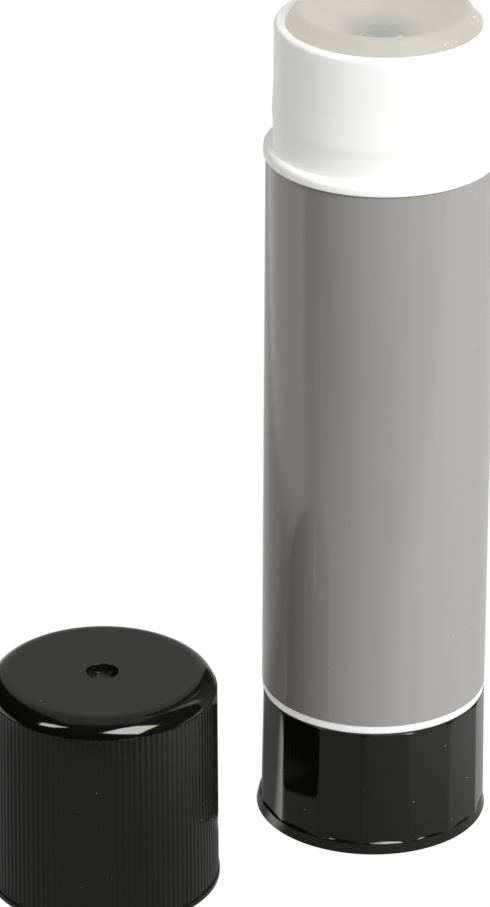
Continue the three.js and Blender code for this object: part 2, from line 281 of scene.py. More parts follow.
barrel = {
    "sides": 240,
    "radius": 12.38,
    "bore": 10.5,
    "foot": 14.95,
    "labelTop": 79.21,
    "shoulderRadius": 12.7,
    "neckFoot": 80.3,
    "neckRadius": 11.63,
    "rim": 94.2,
    "beadRadius": 11.77,
    "beadRise": 2.8,
    "beadWidth": 4.4,
    "socketRadius": 11.15,
    "ledge": 25.55,
    "guideCount": 4,
    "guideWidth": 1.2,
    "guideDepth": 0.45,
    "guideSink": 0.4,
    "guideTop": 88.2,
    "guideLean": 0.25,  # how far the last bit of a guide rib leans out
    "guideLeanFoot": 0.3,  # and how far below its top that starts
    "grooveRise": 5.0,
    "grooveDepth": 0.3,
}


def whitePlastic(name):
    material, nodes, links, shader = newMaterial(name)
    clouds = noiseOver(nodes, links, 60, 3)
    color = blended(nodes, links, clouds, (0.62, 0.62, 0.61), (0.66, 0.66, 0.65))
    links.new(color, shader.inputs["Base Color"])
    links.new(ramped(nodes, links, clouds, 0.28, 0.38), shader.inputs["Roughness"])
    shader.inputs["Specular IOR Level"].default_value = 0.4
    shader.inputs["Subsurface Weight"].default_value = 0.2
    shader.inputs["Subsurface Radius"].default_value = (1.0, 0.97, 0.92)
    shader.inputs["Subsurface Scale"].default_value = 0.001
    # painted glow: an emission that lifts the shaded side, for light through the wall from the far
    # side
    shader.inputs["Emission Color"].default_value = (1.0, 0.995, 0.98, 1)
    shader.inputs["Emission Strength"].default_value = 0.345
    grain = noiseOver(nodes, links, 900, 3)
    bumped(nodes, links, shader, grain, 0.12, 0.00005)
    return material


def makeBarrel():
    b = barrel
    beadFoot = b["neckFoot"] + b["beadRise"]
    grooveMiddle = b["foot"] + b["grooveRise"]
    grooveRadius = b["socketRadius"] + b["grooveDepth"]
    corners = [
        (b["socketRadius"] + 0.15, b["foot"], 0),
        (b["radius"], b["foot"], 0.18),
        (b["radius"], b["labelTop"], 0),
        (b["shoulderRadius"], b["labelTop"] - 0.02, 0.12),
        (b["shoulderRadius"], b["neckFoot"], 0.5),
        (b["neckRadius"] + 0.05, b["neckFoot"], 0.15),
        (b["neckRadius"] + 0.05, beadFoot - 0.1, 1.2),
        (b["beadRadius"], beadFoot + 0.75, 1.2),
        (b["beadRadius"], beadFoot + 1.2, 2),
        (b["neckRadius"], beadFoot + b["beadWidth"], 5),
        (b["neckRadius"], b["rim"], 0.4),
        (b["bore"], b["rim"], 0.22),
        (b["bore"], b["ledge"], 0),
        (b["socketRadius"], b["ledge"], 0),
        (b["socketRadius"], grooveMiddle + 1.3, 0),
        (grooveRadius, grooveMiddle + 1.0, 0),
        (grooveRadius, grooveMiddle - 1.0, 0),
        (b["socketRadius"], grooveMiddle - 1.3, 0),
        (b["socketRadius"], b["foot"] + 0.15, 0),
    ]
    parts = [turnedPiece("tube", rounded(corners), b["sides"])]
    for i in range(b["guideCount"]):
        parts.append(guideRib(fullTurn * i / b["guideCount"]))
    obj = joined("barrelTube", parts)
    paint(obj, whitePlastic("whitePlastic"))
    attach(obj, "barrel")
    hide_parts("barrel")


def guideRib(angle):
    # a long bar with a rounded back, rooted in the bore's wall
    b = barrel
    half = b["guideWidth"] / 2
    inner = b["bore"] - b["guideDepth"]
    section = [(b["bore"] + b["guideSink"], -half), (inner + 0.15, -half), (inner, -half + 0.2)]
    section += [(r, -t) for r, t in reversed(section)]
    points, faces = [], []
    for z in (b["ledge"] + 0.05, b["guideTop"] - b["guideLeanFoot"], b["guideTop"]):
        lean = b["guideLean"] if z == b["guideTop"] else 0
        for r, t in section:
            outwards = r + (lean if r < b["bore"] else 0)
            x = outwards * math.cos(angle) - t * math.sin(angle)
            y = outwards * math.sin(angle) + t * math.cos(angle)
            points.append((x * mm, y * mm, z * mm))
    count = len(section)
    for level in range(2):
        for i in range(count):
            j = (i + 1) % count
            low, high = level * count, (level + 1) * count
            faces.append((low + j, low + i, high + i, high + j))
    faces.append(tuple(range(count)))
    faces.append(tuple(reversed(range(2 * count, 3 * count))))
    obj = newPiece("guideRib", points, faces)
    turnedOutward(obj)
    smoothShade(obj)
    return obj


makeBarrel()
print("barrel made")


# Label: printed film wrapped once round the barrel, its ends overlapping at the back

label = {
    "sides": 260,
    "inner": 12.385,
    "thickness": 0.055,
    "foot": 15.93,
    "top": 79.19,
    "overlap": 7.0,  # degrees
    "seam": 172.0,  # degrees from the front towards +X
    "lift": 0.058,  # how far the outer end stands off
    "liftFade": 4.0,  # degrees before the overlap in which it rises
}

paperDust = {"cells": 400, "size": 0.035, "color": (0.7, 0.68, 0.65)}


def labelFilm():
    material, nodes, links, shader = newMaterial("labelFilm")
    clouds = noiseOver(nodes, links, 45, 4)
    fibres = noiseOver(nodes, links, 700, 3, (1, 1, 0.15))
    tone = computed(nodes, links, "ADD", ramped(nodes, links, clouds, -0.2, 0.7),
                    ramped(nodes, links, fibres, 0, 0.5))
    color = blended(nodes, links, tone, (0.321, 0.303, 0.281), (0.335, 0.317, 0.295))
    links.new(dusted(nodes, links, color, paperDust), shader.inputs["Base Color"])
    links.new(ramped(nodes, links, clouds, 0.55, 0.65), shader.inputs["Roughness"])
    shader.inputs["Specular IOR Level"].default_value = 0.5
    shader.inputs["Coat Weight"].default_value = 1.0
    shader.inputs["Coat IOR"].default_value = 1.58
    shader.inputs["Coat Roughness"].default_value = 0.09
    grain = noiseOver(nodes, links, 1500, 2)
    bumped(nodes, links, shader, grain, 0.05, 0.00003)
    return material


def makeLabel():
    w = label
    sweep = math.radians(360 + w["overlap"])
    start = math.radians(w["seam"])
    fade = math.radians(w["liftFade"])
    points, faces = [], []
    for i in range(w["sides"] + 1):
        turn = sweep * i / w["sides"]
        rise = min(1.0, max(0.0, (turn - fullTurn + fade) / fade))
        lift = w["lift"] * (3 * rise ** 2 - 2 * rise ** 3)
        angle = start + turn
        for r, z in sheetSection(w, lift):
            points.append((r * math.sin(angle) * mm, -r * math.cos(angle) * mm, z * mm))
    count = len(sheetSection(w, 0))
    for i in range(w["sides"]):
        for k in range(count):
            n = (k + 1) % count
            a, b = i * count, (i + 1) * count
            faces.append((a + k, b + k, b + n, a + n))
    faces.append(tuple(range(count)))
    faces.append(tuple(reversed(range(w["sides"] * count, (w["sides"] + 1) * count))))
    obj = newPiece("labelWrap", points, faces)
    turnedOutward(obj)
    smoothShade(obj)
    paint(obj, labelFilm())
    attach(obj, "barrel")
    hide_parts("label")


def sheetSection(w, lift):
    inner = w["inner"] + lift
    outer = inner + w["thickness"]
    return [
        (inner, w["foot"]),
        (outer, w["foot"]),
        (outer, w["foot"] + 0.1),
        (outer, w["top"] - 0.1),
        (outer, w["top"]),
        (inner, w["top"]),
    ]


makeLabel()
print("label made")


# Twist knob: flat-sided, on a flared round foot, with a collar inside the barrel

knob = {
    "facets": 15,
    "stepsPerFacet": 24,
    "firstRidge": -53.8,  # degrees from the front towards +X
    "height": 14.8,
    "topFlat": 12.22,
    "lowFlat": 12.37,
    "crown": 0.25,  # how round the flats are, 0 to 1
    "crownSink": 0.35,  # share of the crown's height that is taken off the radius
    "footRadius": 12.87,
    "footShift": 0.09,  # how far the round foot sits towards -X
    "rimTop": 1.12,
    "rimTopRadius": 12.63,
    "ledgeTop": 1.467,
    "ledgeCurve": 1.5,
    "ledgeSteps": 16,
    "footEdge": 0.1,
    "bevel": 0.03,
    "topCut": 12.35,  # a cone of this radius at the top cuts the ridges' corners
    "topCutSlope": 0.65,
    "soften": 0.03,
    "rimHeights": (0.25, 0.45, 0.65, 0.8, 0.9, 0.97),
    "sideHeights": (2.0, 2.4, 3.1, 4, 6, 9, 12, 14, 14.5, 14.68, 14.73),
    "collarRadius": 10.95,
    "collarTop": 25.35,
    "collarBead": ((0, 19.0), (0.3, 19.3), (0.3, 20.0), (0, 20.8)),  # how far out, and height
    "hollow": 9.55,
    "floor": 1.6,
    "postRadius": 4.4,
    "postHeight": 11.0,
    "socket": 2.95,
    "grooveRadius": 9.6,
    "grooveHalfWidth": 0.45,
    "grooveDepth": 0.35,
}

plasticDust = {"cells": 620, "size": 0.055, "color": (0.45, 0.43, 0.4)}


def blackPlastic(name, roughness, spot=None, spotColor=None, spotGlow=None):
    # the spot, where there is one, is dull and has its own color; spotGlow, where given, is a
    # painted glow in it
    material, nodes, links, shader = newMaterial(name)
    smears = noiseOver(nodes, links, 110, 5)
    color = blended(nodes, links, smears, (0.003, 0.0029, 0.0027), (0.0055, 0.0054, 0.005))
    color = dusted(nodes, links, color, plasticDust)
    rough = ramped(nodes, links, smears, roughness * 0.75, roughness * 1.35)
    if spot:
        near = nearSpot(nodes, links, spot)
        color = blended(nodes, links, near, color, spotColor)
        dull = ramped(nodes, links, near, 0, 0.5, 0, 1)
        rough = computed(nodes, links, "MAXIMUM", rough, dull)
    # painted glow in the spot
    if spotGlow:
        glow = blended(nodes, links, near, (0, 0, 0), spotGlow)
        links.new(glow, shader.inputs["Emission Color"])
        shader.inputs["Emission Strength"].default_value = 1.0
    links.new(color, shader.inputs["Base Color"])
    links.new(rough, shader.inputs["Roughness"])
    shader.inputs["Specular Tint"].default_value = (0.97, 1, 0.93, 1)
    orangePeel = noiseOver(nodes, links, 420, 2)
    bumped(nodes, links, shader, orangePeel, 0.05, 0.00003)
    return material


def knobFlat(z):
    # distance from the axis to a flat at this height
    share = (z - knob["ledgeTop"]) / (knob["height"] - knob["ledgeTop"])
    return knob["lowFlat"] + (knob["topFlat"] - knob["lowFlat"]) * max(share, 0)


def knobFoot(z, angle):
    # radius of the round foot: a rim that leans in, then a rounded ledge up to the flats
    k = knob
    shift = -k["footShift"] * math.sin(angle)
    if z <= k["rimTop"]:
        share = max(z - k["footEdge"], 0) / (k["rimTop"] - k["footEdge"])
        return shift + k["footRadius"] + (k["rimTopRadius"] - k["footRadius"]) * share
    share = (z - k["rimTop"]) / (k["ledgeTop"] - k["rimTop"])
    ledge = k["lowFlat"] - k["rimTopRadius"]
    return shift + k["rimTopRadius"] + ledge * share ** k["ledgeCurve"]


def softer(a, b, size):
    # the larger of two radii, with a small fillet where they cross
    return (a + b + math.sqrt((a - b) ** 2 + size ** 2)) / 2


def knobSide(z, angle, inset=0):
    step = fullTurn / knob["facets"]
    ridge = math.radians(knob["firstRidge"])
    fromMiddle = (angle - ridge) % step - step / 2
    flat = knobFlat(z) / math.cos(fromMiddle)
    ridgeRadius = knobFlat(z) / math.cos(step / 2)
    flat += knob["crown"] * (ridgeRadius - flat)
    flat -= knob["crown"] * (ridgeRadius - knobFlat(z)) * knob["crownSink"]
    flat = min(flat, knob["topCut"] + knob["topCutSlope"] * (knob["height"] - z)) - inset
    return softer(flat, knobFoot(z, angle), knob["soften"])


def makeKnob():
    k = knob
    inside = rounded([
        (k["collarRadius"], k["height"], 0),
        *((k["collarRadius"] + out, z, 0) for out, z in k["collarBead"]),
        (k["collarRadius"], k["collarTop"], 0.2),
        (k["hollow"], k["collarTop"], 0.2),
        (k["hollow"], k["floor"], 0.4),
        (k["postRadius"], k["floor"], 0.4),
        (k["postRadius"], k["postHeight"], 0.2),
        (k["socket"], k["postHeight"], 0.1),
        (k["socket"], k["floor"] + 0.1, 0),
        (0, k["floor"] + 0.1, 0),
    ])
    outer = k["grooveRadius"] + k["grooveHalfWidth"]
    inner = k["grooveRadius"] - k["grooveHalfWidth"]
    under = rounded([
        (0, 0, 0),
        (inner, 0, 0.1),
        (inner, k["grooveDepth"], 0.1),
        (outer, k["grooveDepth"], 0.1),
        (outer, 0, 0.1),
        (k["footRadius"], 0, k["footEdge"]),
        (k["footRadius"], k["footEdge"] + 0.01, 0),
    ])
    step = (k["ledgeTop"] - k["rimTop"]) / k["ledgeSteps"]
    ledgeHeights = [k["rimTop"] + step * i for i in range(k["ledgeSteps"] + 6)]
    bevelSteps = 6
    profile = list(under)
    insets = {}  # how far each point of the side stands in from the flats
    for z in (*k["rimHeights"], *ledgeHeights, *k["sideHeights"]):
        insets[len(profile)] = 0
        profile.append((1, z))
    for i in range(bevelSteps + 1):
        t = math.pi / 2 * i / bevelSteps
        insets[len(profile)] = k["bevel"] * (1 - math.cos(t))
        profile.append((1, k["height"] - k["bevel"] + k["bevel"] * math.sin(t)))
    insets[len(profile)] = k["bevel"] + 0.2
    profile.append((1, k["height"]))
    profile += inside

    def radiusAt(index, angle):
        r, z = profile[index]
        if index in insets:
            return knobSide(z, angle, insets[index])
        if r > outer + 0.2 and z < 0.2:
            return r - k["footShift"] * math.sin(angle)
        return r

    obj = turnedPiece("twistKnob", profile, k["facets"] * k["stepsPerFacet"], radiusAt=radiusAt)
    paint(obj, blackPlastic("knobPlastic", 0.07))
    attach(obj, "knob")
    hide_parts("twist_knob")


makeKnob()
print("knob made")


# Spindle and carrier keep their CAD shapes, hidden in the barrel

spindle = {
    "smearSpot": (0, 0, 92.4, 2.3, 5.4),  # gel on its end, grey, with a painted glow like the gel's
    "smearColor": (0.036, 0.038, 0.037),
    "smearPaintedGlow": (0.36, 0.367, 0.341),
}


def makeInnerParts():
    smear = (spindle["smearSpot"], spindle["smearColor"], spindle["smearPaintedGlow"])
    paint(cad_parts["spindle"], blackPlastic("spindlePlastic", 0.25, *smear))
    paint(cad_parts["carrier"], whitePlastic("carrierPlastic"))


makeInnerParts()
print("inner parts painted")


# Glue: translucent column with a dished top, its foot in the carrier

glue = {
    "sides": 240,
    "foot": 31.35,
    "footRadius": 8.95,
    "cupTop": 37.15,
    "radius": 10.49,
    "slopeFoot": 94.08,
    "edge": 96.05,
    "dishRadius": 9.09,
    "dishDepth": 3.65,
    "dishSteps": 22,
    "edgeRounding": 0.5,
    "edgeWidth": 1.2,
    "bore": 2.31,
    "hub": 4.1,
    "hubTop": 38.15,
    "notchTop": 92.6,
    "notchDepth": 0.46,
    "notchHalfWidth": 5.2,  # degrees
    "notchSide": 1.2,  # degrees
    # droplets on the slope: angle from the front, spread, lowest and highest place, count
    "droplets": [(46, 9, 0.1, 0.45, 12), (78, 9, 0.35, 0.95, 12), (9.5, 2.5, 0.94, 1.0, 3)],
    "dropletSizes": (0.07, 0.17),
}

gelFilm = {
    "radius": 1.78,  # it passes through the carrier's nut
    "foot": 92.1,
    "top": 92.6,
    # a dark spot painted over the spindle's end, with painted shade fading round it: x, y, z and
    # two radii
    "spot": (-0.3, 0.3, 92.5, 1.1, 5),
}


def glueGel(name, roughness):
    # painted glow: an emission stands for light that comes through the gel from all round;
    # and a painted dark spot, with painted shade round it, stands where the spindle's end shows
    # through
    material, nodes, links, shader = newMaterial(name)
    clouds = noiseOver(nodes, links, 170, 3)
    # painted shade: the dark spot over the spindle's end and the shade round it
    under = nearSpot(nodes, links, gelFilm["spot"])
    looks = (
        ("Base Color", (0.06, 0.058, 0.052), (0.066, 0.064, 0.057), (0.036, 0.038, 0.037)),
        ("Emission Color", (0.52, 0.496, 0.428), (0.568, 0.541, 0.468), (0.35, 0.357, 0.332)),
    )
    for socket, thin, thick, dark in looks:
        gel = blended(nodes, links, clouds, thin, thick)
        links.new(blended(nodes, links, under, gel, dark), shader.inputs[socket])
    shader.inputs["Emission Strength"].default_value = 1.0
    rough = ramped(nodes, links, clouds, roughness * 0.9, roughness * 1.1)
    links.new(rough, shader.inputs["Roughness"])
    shader.inputs["Subsurface Weight"].default_value = 0.6
    shader.inputs["Subsurface Radius"].default_value = (1.0, 0.97, 0.88)
    shader.inputs["Subsurface Scale"].default_value = 0.002
    shader.inputs["IOR"].default_value = 1.4
    shader.inputs["Specular IOR Level"].default_value = 0.4
    waves = noiseOver(nodes, links, 260, 3)
    bumped(nodes, links, shader, waves, 0.3, 0.00012)
    return material


def glueSide(z, angle):
    # the column has a groove over each guide rib, ending under the rim
    g = glue
    step = fullTurn / barrel["guideCount"]
    away = abs((angle + step / 2) % step - step / 2)
    inside = math.radians(g["notchHalfWidth"]) - away
    depth = min(1.0, max(0.0, inside / math.radians(g["notchSide"])))
    return g["radius"] - (g["notchDepth"] * depth if z <= g["notchTop"] else 0)


def makeGlue():
    g = glue
    sphere = (g["dishRadius"] ** 2 + g["dishDepth"] ** 2) / (2 * g["dishDepth"])
    floorZ = g["edge"] - g["dishDepth"]
    edgeSlope = math.tan(math.asin(g["dishRadius"] / sphere))
    profile = rounded([
        (g["hub"], g["foot"], 0),
        (g["footRadius"], g["foot"], 0.2),
        (g["footRadius"], g["cupTop"], 0),
        (g["radius"] - 0.3, g["cupTop"], 0),
    ])
    sideStart = len(profile)
    sideHeights = (g["cupTop"] + 0.3, 60, g["notchTop"], g["notchTop"] + 0.25)
    profile += [(g["radius"], z) for z in sideHeights]
    sideEnd = len(profile)
    profile += rounded([
        (g["radius"], g["notchTop"] + 0.5, 0),
        (g["radius"], g["slopeFoot"], 0.1),
        (g["dishRadius"] + 0.05, g["edge"], g["edgeRounding"]),
        (g["dishRadius"] - g["edgeWidth"], g["edge"] - g["edgeWidth"] * edgeSlope, 0),
    ], 8)
    start = g["dishRadius"] - g["edgeWidth"] - 0.05
    for i in range(1, g["dishSteps"] + 1):
        r = start - (start - g["bore"]) * i / g["dishSteps"]
        profile.append((r, floorZ + sphere - math.sqrt(sphere ** 2 - r ** 2)))
    low = profile[-1][1]
    profile += [(g["bore"], low - 0.2), (g["bore"], g["hubTop"]), (g["hub"], g["hubTop"])]

    def radiusAt(index, angle):
        r, z = profile[index]
        return glueSide(z, angle) if sideStart <= index < sideEnd else r

    obj = turnedPiece("glueColumn", profile, g["sides"], radiusAt=radiusAt)
    paint(obj, glueGel("glueGel", 0.62))
    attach(obj, "carrier")
    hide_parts("glue")


makeGlue()


def makeDroplets():
    g = glue
    chance = random.Random(7)
    work = bmesh.new()
    for middle, spread, low, high, count in g["droplets"]:
        for _ in range(count):
            angle = math.radians(middle + spread * chance.uniform(-1, 1))
            share = chance.uniform(low, high)
            size = chance.uniform(*g["dropletSizes"])
            r = g["radius"] + (g["dishRadius"] + 0.2 - g["radius"]) * share - size * 0.3
            z = g["slopeFoot"] + (g["edge"] - 0.08 - g["slopeFoot"]) * share
            place = Vector((r * math.sin(angle), -r * math.cos(angle), z)) * mm
            lump = Matrix.Translation(place) @ Matrix.Scale(size * mm, 4)
            bmesh.ops.create_icosphere(work, subdivisions=2, radius=1, matrix=lump)
    obj = newPiece("gelDroplets", [], [])
    work.to_mesh(obj.data)
    work.free()
    smoothShade(obj, 60)
    paint(obj, glueGel("wetGel", 0.07))
    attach(obj, "carrier")


makeDroplets()


def makeGelFilm():
    # the film of gel on the spindle's end
    f = gelFilm
    profile = rounded([
        (0, f["foot"], 0),
        (f["radius"] - 0.1, f["foot"], 0),
        (f["radius"], f["foot"] + 0.1, 0),
        (f["radius"], f["top"], 0.1),
        (f["radius"] * 0.5, f["top"] - 0.15, 0),
        (0, f["top"] - 0.2, 0),
    ])
    obj = turnedPiece("gelFilm", profile, 64)
    paint(obj, glueGel("gelOverSpindle", 0.55))
    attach(obj, "knob")


makeGelFilm()
print("glue made")


# Cap: smooth rounded top with a dimple, and a skirt of fine upright ribs

cap = {
    "sides": 240,
    "place": (-29.87, -16.54),
    "height": 24.87,
    "footRadius": 12.85,
    "topRadius": 12.64,
    "ribDepth": 0.18,
    "edgeRadius": 2.36,
    "lipHeight": 0.7,
    "bore": 11.95,
    "roof": 1.5,
    "sealOuter": 10.35,
    "sealInner": 9.55,
    "sealFoot": 12.6,
    "dimpleRadius": 1.78,
    "dimpleFloor": 1.55,
    "dimpleDepth": 0.95,
    "dullSpot": (-29.87, -16.54, 23.8, 0.7, 1.7),  # the dimple's floor, dull and of a lighter brown-grey
    "dullColor": (0.03, 0.024, 0.0225),
}

capRibs = {
    "Count": 120,
    "Foot Radius": 12.67,
    "Top Radius": 12.46,
    "Foot Height": 0.5,
    "Top Height": 23.05,
    "Thickness": 0.7,
    "Sink": 0.63,
}


def makeCapShell():
    c = cap
    roof = c["height"] - c["roof"]
    wallTop = c["topRadius"] - c["ribDepth"]
    wallFoot = c["footRadius"] - c["ribDepth"]
    corners = [
        (0, roof, 0),
        (c["sealInner"], roof, 0.3),
        (c["sealInner"], c["sealFoot"], 0.15),
        (c["sealOuter"] - 0.1, c["sealFoot"], 0.2),
        (c["sealOuter"], c["sealFoot"] + 0.8, 0),
        (c["sealOuter"], roof, 0.2),
        (c["bore"], roof, 0.3),
        (c["bore"], 3.0, 0.3),
        (c["bore"] - 0.2, 2.3, 0.3),
        (c["bore"], 1.6, 0.3),
        (c["bore"], 0.3, 0),
        (c["bore"] + 0.2, 0, 0.05),
        (c["footRadius"], 0, 0.15),
        (c["footRadius"], c["lipHeight"], 0.08),
        (wallFoot, c["lipHeight"], 0.04),
        (wallTop, c["height"], c["edgeRadius"]),
        (c["dimpleRadius"], c["height"], 0.05),
        (c["dimpleFloor"], c["height"] - c["dimpleDepth"], 0.03),
        (0, c["height"] - c["dimpleDepth"], 0),
    ]
    return turnedPiece("capShell", rounded(corners, 12), c["sides"], c["place"])


def ribTree():
    # upright rods round a circle, each with rounded ends, leaning with the taper
    tree = bpy.data.node_groups.new("capRibs", "GeometryNodeTree")
    inputs = {}
    tree.interface.new_socket("Geometry", in_out="INPUT", socket_type="NodeSocketGeometry")
    for title, value in capRibs.items():
        kind = "NodeSocketInt" if title == "Count" else "NodeSocketFloat"
        item = tree.interface.new_socket(title, in_out="INPUT", socket_type=kind)
        item.default_value = value
        inputs[title] = item.identifier
    item = tree.interface.new_socket("Material", in_out="INPUT", socket_type="NodeSocketMaterial")
    inputs["Material"] = item.identifier
    tree.interface.new_socket("Geometry", in_out="OUTPUT", socket_type="NodeSocketGeometry")
    nodes, links = tree.nodes, tree.links
    given = nodes.new("NodeGroupInput")
    result = nodes.new("NodeGroupOutput")

    def math2(operation, *values):
        return computed(nodes, links, operation, *values)

    def corner(radius, height):
        node = nodes.new("ShaderNodeCombineXYZ")
        links.new(radius, node.inputs["X"])
        links.new(height, node.inputs["Z"])
        return node.outputs[0]

    lowRadius = math2("SUBTRACT", given.outputs["Foot Radius"], given.outputs["Sink"])
    highRadius = math2("SUBTRACT", given.outputs["Top Radius"], given.outputs["Sink"])
    line = nodes.new("GeometryNodeCurvePrimitiveLine")
    links.new(corner(lowRadius, given.outputs["Foot Height"]), line.inputs["Start"])
    links.new(corner(highRadius, given.outputs["Top Height"]), line.inputs["End"])
    length = math2("SUBTRACT", given.outputs["Top Height"], given.outputs["Foot Height"])

    # five points on the line: four within one thickness of the top, where the rod rounds
    # off as a quarter circle, and one at its foot
    resample = nodes.new("GeometryNodeResampleCurve")
    resample.inputs["Count"].default_value = 5
    links.new(line.outputs["Curve"], resample.inputs["Curve"])
    along = nodes.new("GeometryNodeSplineParameter")
    step = math2("MULTIPLY", math2("SUBTRACT", 1.0, along.outputs["Factor"]), 4.0)
    turn = math2("MULTIPLY", step, math.pi / 6)
    isFoot = math2("GREATER_THAN", step, 3.5)
    roundLength = math2("DIVIDE", given.outputs["Thickness"], length)
    nearTop = math2("MULTIPLY", math2("SUBTRACT", 1.0, math2("COSINE", turn)), roundLength)
    fromTop = math2("MAXIMUM", math2("MULTIPLY", math2("SUBTRACT", 1.0, isFoot), nearTop), isFoot)
    drop = math2("MULTIPLY", fromTop, length)
    lean = math2("MULTIPLY", fromTop, math2("SUBTRACT", lowRadius, highRadius))
    height = math2("SUBTRACT", given.outputs["Top Height"], drop)
    place = corner(math2("ADD", highRadius, lean), height)
    move = nodes.new("GeometryNodeSetPosition")
    links.new(resample.outputs["Curve"], move.inputs["Geometry"])
    links.new(place, move.inputs["Position"])
    thick = nodes.new("GeometryNodeSetCurveRadius")
    links.new(move.outputs["Geometry"], thick.inputs["Curve"])
    grown = math2("MAXIMUM", isFoot, math2("SINE", turn))
    links.new(math2("MAXIMUM", grown, 0.05), thick.inputs["Radius"])
    section = nodes.new("GeometryNodeCurvePrimitiveCircle")
    section.inputs["Resolution"].default_value = 20
    links.new(given.outputs["Thickness"], section.inputs["Radius"])
    sweep = nodes.new("GeometryNodeCurveToMesh")
    links.new(thick.outputs["Curve"], sweep.inputs["Curve"])
    links.new(section.outputs["Curve"], sweep.inputs["Profile Curve"])
    sweep.inputs["Fill Caps"].default_value = True

    spots = nodes.new("GeometryNodePoints")
    links.new(given.outputs["Count"], spots.inputs["Count"])
    index = nodes.new("GeometryNodeInputIndex")
    turned = math2("MULTIPLY", index.outputs[0], fullTurn)
    bearing = math2("DIVIDE", turned, given.outputs["Count"])
    spin = nodes.new("ShaderNodeCombineXYZ")
    links.new(bearing, spin.inputs["Z"])
    copies = nodes.new("GeometryNodeInstanceOnPoints")
    links.new(spots.outputs[0], copies.inputs["Points"])
    links.new(sweep.outputs["Mesh"], copies.inputs["Instance"])
    links.new(spin.outputs[0], copies.inputs["Rotation"])
    smooth = nodes.new("GeometryNodeSetShadeSmooth")
    links.new(copies.outputs["Instances"], smooth.inputs["Geometry"])
    real = nodes.new("GeometryNodeRealizeInstances")
    links.new(smooth.outputs["Geometry"], real.inputs["Geometry"])
    dye = nodes.new("GeometryNodeSetMaterial")
    links.new(real.outputs["Geometry"], dye.inputs["Geometry"])
    links.new(given.outputs["Material"], dye.inputs["Material"])
    links.new(dye.outputs["Geometry"], result.inputs["Geometry"])
    return tree, inputs


def makeCap():
    plastic = blackPlastic("capPlastic", 0.09, cap["dullSpot"], cap["dullColor"])
    tree, inputs = ribTree()
    ribs = newPiece("capRibs", [], [])
    modifier = ribs.modifiers.new("ribs", "NODES")
    modifier.node_group = tree
    for title, value in capRibs.items():
        modifier[inputs[title]] = value
    modifier[inputs["Material"]] = plastic
    bpy.context.view_layer.update()
    evaluated = ribs.evaluated_get(bpy.context.evaluated_depsgraph_get())
    ribMesh = bpy.data.meshes.new_from_object(evaluated)
    ribs.modifiers.clear()
    ribs.data = ribMesh
    shift = Matrix.Translation(Vector((*cap["place"], 0)) * mm)
    ribMesh.transform(shift @ Matrix.Scale(mm, 4))
    print("cap ribs:", len(ribMesh.polygons), "faces")
    obj = joined("ribbedCap", [makeCapShell(), ribs])
    paint(obj, plastic)
    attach(obj, "cap")
    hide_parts("cap")


makeCap()
print("cap made")


# Floor, background and lamps

studio = {
    "floorSize": 3.0,
    "floorShade": (0.1, 0.1, 0.098),
    "ambient": 0.048,
    "darkRoom": 0.0096,
    "ceiling": 0.416,
    # how bright gloss sees the paper in each zone: painted light and shade
    "paperFront": 0.3,
    "paperRight": 0.7,
    "paperBack": 0.6,
    "paperLeft": 1.1,
    "paperGap": 2.1,
    # where the paper's parts begin and end along X or Y, in metres
    "rightSide": (-0.005, 0.032),
    "frontEnd": (-0.09, -0.065),
    "backPart": (-0.008, 0.03),
    "leftSide": (-0.1, -0.07),
    "leftEnd": (-0.055, -0.02),
    "gapWay": (0.582, 0.813, 0),
    "gapSide": (-0.0124, -0.0105),
    "gapFoot": (-0.0085, -0.006),
    "gapLeft": (-0.036, -0.03),
    "gapEnd": (0.011, 0.018),
    # the edges of the pale ceiling, along X and Y of a direction's unit vector
    "ceilingSide": (0.36, 0.44),
    "ceilingFront": (-0.28, -0.1),
    "aim": (-0.01, -0.005, 0.03),
    "panelDistance": 1.1,
}

# lamps for matt surfaces: direction from the front towards +X and elevation in degrees,
# distance, width and height in metres, and brightness
softboxes = {
    "keyMatt": (36, 38, 1.1, 0.75, 0.6, 9.6),
    "fillMatt": (-60, 40, 1.1, 0.42, 0.32, 1.2),
    "sideMatt": (98, 30, 1.3, 0.8, 0.8, 2.4),
}

# panels that only gloss shows: brightness, and each corner's direction from the front
# towards +X and elevation in degrees, seen from the cap
panels = {
    "keyPanel": (12.6, [(1, 37), (26, 55), (45, 55), (61.5, 31), (46, 24), (37, 14), (19, 27)]),
    "fillPanel": (11.0, [(-66, 26), (-69, 39), (-61, 46), (-42, 49.5), (-53, 34)]),
}


def towards(azimuth, elevation):
    a, e = math.radians(azimuth), math.radians(elevation)
    return Vector((math.sin(a) * math.cos(e), -math.cos(a) * math.cos(e), math.sin(e)))


def makeSoftbox(name, azimuth, elevation, distance, width, height, radiance):
    way = towards(azimuth, elevation)
    data = bpy.data.lights.new(name, "AREA")
    data.shape = "RECTANGLE"
    data.size = width
    data.size_y = height
    data.energy = radiance * 4 * width * height
    obj = bpy.data.objects.new(name, data)
    bpy.context.scene.collection.objects.link(obj)
    obj.location = Vector(studio["aim"]) + way * distance
    obj.rotation_euler = (-way).to_track_quat("-Z", "Y").to_euler()
    obj.visible_camera = False
    obj.visible_glossy = False


def makePanel(name, radiance, corners):
    middle = Vector((*cap["place"], cap["height"])) * mm
    points = [middle + towards(*corner) * studio["panelDistance"] for corner in corners]
    obj = newPiece(name, points, [tuple(range(len(points)))])
    material, _, _, shader = newMaterial(name)
    shader.inputs["Base Color"].default_value = (0, 0, 0, 1)
    shader.inputs["Emission Color"].default_value = (1.0, 0.98, 0.95, 1)
    shader.inputs["Emission Strength"].default_value = radiance
    paint(obj, material)
    obj.visible_camera = False
    obj.visible_diffuse = False
    obj.visible_transmission = False
    obj.visible_shadow = False


